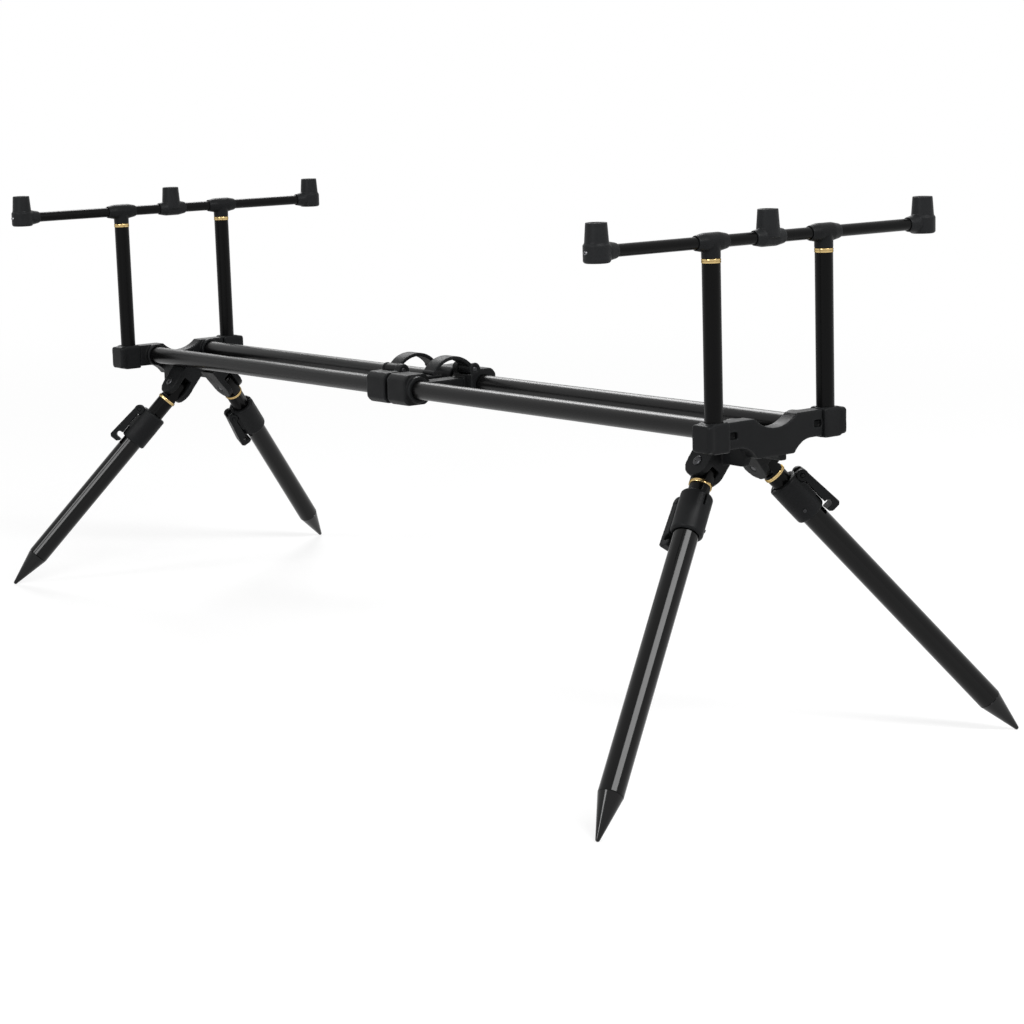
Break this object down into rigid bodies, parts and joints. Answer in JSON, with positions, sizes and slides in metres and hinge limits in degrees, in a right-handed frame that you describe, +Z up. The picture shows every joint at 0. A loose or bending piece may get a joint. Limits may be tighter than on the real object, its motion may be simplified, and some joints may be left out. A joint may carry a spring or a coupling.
{
  "type": "rod pod",
  "caption": "Fishing rod pod: parallel sliding rails between moulded end brackets, folding goal-post bars with threaded alarm sockets, and folding telescopic legs with cam locks.",
  "frame": {"origin": "on the ground, at the middle of the box round the pod, under the rails", "axes": "+X along the rails to the high end, +Y to the right-hand side seen from the rear, +Z up"},
  "size_m": [1.0868, 0.508, 0.4887],
  "materials": {
    "moulding": "fine-grained matt black moulding",
    "tube": "glossy black anodised",
    "gold_ring": "gold anodised",
    "brass_insert": "turned brass",
    "pin_steel": "plain steel"
  },
  "bodies": {
    "rear_half": {"rear_bracket": "moulding", "rail_right": "tube", "rear_clamp": "moulding", "rear_clamp_pin": "pin_steel", "rear_leg_pins": "pin_steel"},
    "front_half": {"front_bracket": "moulding", "rail_left": "tube", "front_clamp": "moulding", "front_clamp_pin": "pin_steel", "front_leg_pins": "pin_steel"},
    "rear_bow": {"rear_clamp_lever": "moulding"},
    "rear_post": {"rear_left_block": "moulding", "rear_right_block": "moulding", "rear_left_upright": "tube", "rear_right_upright": "tube", "rear_post_rings": "gold_ring", "rear_left_tee": "moulding", "rear_right_tee": "moulding", "rear_bar": "tube", "rear_left_socket": "moulding", "rear_centre_socket": "moulding", "rear_right_socket": "moulding", "rear_inserts": "brass_insert"},
    "rear_left_leg": {"rear_left_leg_tube": "tube", "rear_left_leg_ring": "gold_ring"},
    "rear_left_lower_leg": {"rear_left_lower_tube": "tube", "rear_left_lock": "moulding", "rear_left_foot": "moulding"},
    "rear_left_lock_lever": {"rear_left_lever": "moulding"},
    "rear_right_leg": {"rear_right_leg_tube": "tube", "rear_right_leg_ring": "gold_ring"},
    "rear_right_lower_leg": {"rear_right_lower_tube": "tube", "rear_right_lock": "moulding", "rear_right_foot": "moulding"},
    "rear_right_lock_lever": {"rear_right_lever": "moulding"},
    "front_bow": {"front_clamp_lever": "moulding"},
    "front_post": {"front_left_block": "moulding", "front_right_block": "moulding", "front_left_upright": "tube", "front_right_upright": "tube", "front_post_rings": "gold_ring", "front_left_tee": "moulding", "front_right_tee": "moulding", "front_bar": "tube", "front_left_socket": "moulding", "front_centre_socket": "moulding", "front_right_socket": "moulding", "front_inserts": "brass_insert"},
    "front_left_leg": {"front_left_leg_tube": "tube", "front_left_leg_ring": "gold_ring"},
    "front_left_lower_leg": {"front_left_lower_tube": "tube", "front_left_lock": "moulding", "front_left_foot": "moulding"},
    "front_left_lock_lever": {"front_left_lever": "moulding"},
    "front_right_leg": {"front_right_leg_tube": "tube", "front_right_leg_ring": "gold_ring"},
    "front_right_lower_leg": {"front_right_lower_tube": "tube", "front_right_lock": "moulding", "front_right_foot": "moulding"},
    "front_right_lock_lever": {"front_right_lever": "moulding"}
  },
  "joints": [
    {"name": "length_slide", "type": "slide", "parent": "rear_half", "child": "front_half", "axis": [0.9988, 0, 0.0491], "range_m": [0, 0.38]},
    {"name": "rear_clamp_lever_turn", "type": "hinge", "parent": "rear_half", "child": "rear_bow", "pos_m": [-0.05256, -0.026, 0.28985], "axis": [0.9988, 0, 0.0491], "range_deg": [0, 90]},
    {"name": "rear_post_fold", "type": "hinge", "parent": "rear_half", "child": "rear_post", "pos_m": [-0.517, 0, 0.2435], "axis": [0, 1, 0], "range_deg": [0, 80]},
    {"name": "rear_left_leg_fold", "type": "hinge", "parent": "rear_half", "child": "rear_left_leg", "pos_m": [-0.46771, -0.033, 0.21839], "axis": [-0.0312, -0.7716, 0.6353], "range_deg": [0, 107]},
    {"name": "rear_left_leg_slide", "type": "slide", "parent": "rear_left_leg", "child": "rear_left_lower_leg", "axis": [-0.2558, -0.6083, -0.7514], "range_m": [0, 0.11]},
    {"name": "rear_left_lever_turn", "type": "hinge", "parent": "rear_left_lower_leg", "child": "rear_left_lock_lever", "pos_m": [-0.48802, -0.07078, 0.19401], "axis": [-0.8212, 0.5469, -0.1632], "range_deg": [0, 80]},
    {"name": "rear_right_leg_fold", "type": "hinge", "parent": "rear_half", "child": "rear_right_leg", "pos_m": [-0.46771, 0.033, 0.21839], "axis": [0.0312, -0.7716, -0.6353], "range_deg": [0, 107]},
    {"name": "rear_right_leg_slide", "type": "slide", "parent": "rear_right_leg", "child": "rear_right_lower_leg", "axis": [-0.2558, 0.6083, -0.7514], "range_m": [0, 0.11]},
    {"name": "rear_right_lever_turn", "type": "hinge", "parent": "rear_right_lower_leg", "child": "rear_right_lock_lever", "pos_m": [-0.48457, 0.04827, 0.17461], "axis": [-0.9186, 0.0892, 0.3849], "range_deg": [0, 80]},
    {"name": "front_clamp_lever_turn", "type": "hinge", "parent": "front_half", "child": "front_bow", "pos_m": [0.00307, 0.026, 0.29258], "axis": [-0.9988, 0, -0.0491], "range_deg": [0, 90]},
    {"name": "front_post_fold", "type": "hinge", "parent": "front_half", "child": "front_post", "pos_m": [0.46981, 0, 0.29198], "axis": [0, -1, 0], "range_deg": [0, 80]},
    {"name": "front_left_leg_fold", "type": "hinge", "parent": "front_half", "child": "front_left_leg", "pos_m": [0.42322, -0.033, 0.26216], "axis": [0.0312, 0.7716, -0.6353], "range_deg": [0, 107]},
    {"name": "front_left_leg_slide", "type": "slide", "parent": "front_left_leg", "child": "front_left_lower_leg", "axis": [0.3282, -0.6083, -0.7227], "range_m": [0, 0.11]},
    {"name": "front_left_lever_turn", "type": "hinge", "parent": "front_left_lower_leg", "child": "front_left_lock_lever", "pos_m": [0.41981, -0.05472, 0.22977], "axis": [0.2428, 0.7937, -0.5578], "range_deg": [0, 80]},
    {"name": "front_right_leg_fold", "type": "hinge", "parent": "front_half", "child": "front_right_leg", "pos_m": [0.42322, 0.033, 0.26216], "axis": [-0.0312, 0.7716, 0.6353], "range_deg": [0, 107]},
    {"name": "front_right_leg_slide", "type": "slide", "parent": "front_right_leg", "child": "front_right_lower_leg", "axis": [0.3282, 0.6083, -0.7227], "range_m": [0, 0.11]},
    {"name": "front_right_lever_turn", "type": "hinge", "parent": "front_right_lower_leg", "child": "front_right_lock_lever", "pos_m": [0.44074, 0.06498, 0.24791], "axis": [0.8752, -0.4837, -0.0097], "range_deg": [0, 80]}
  ]
}
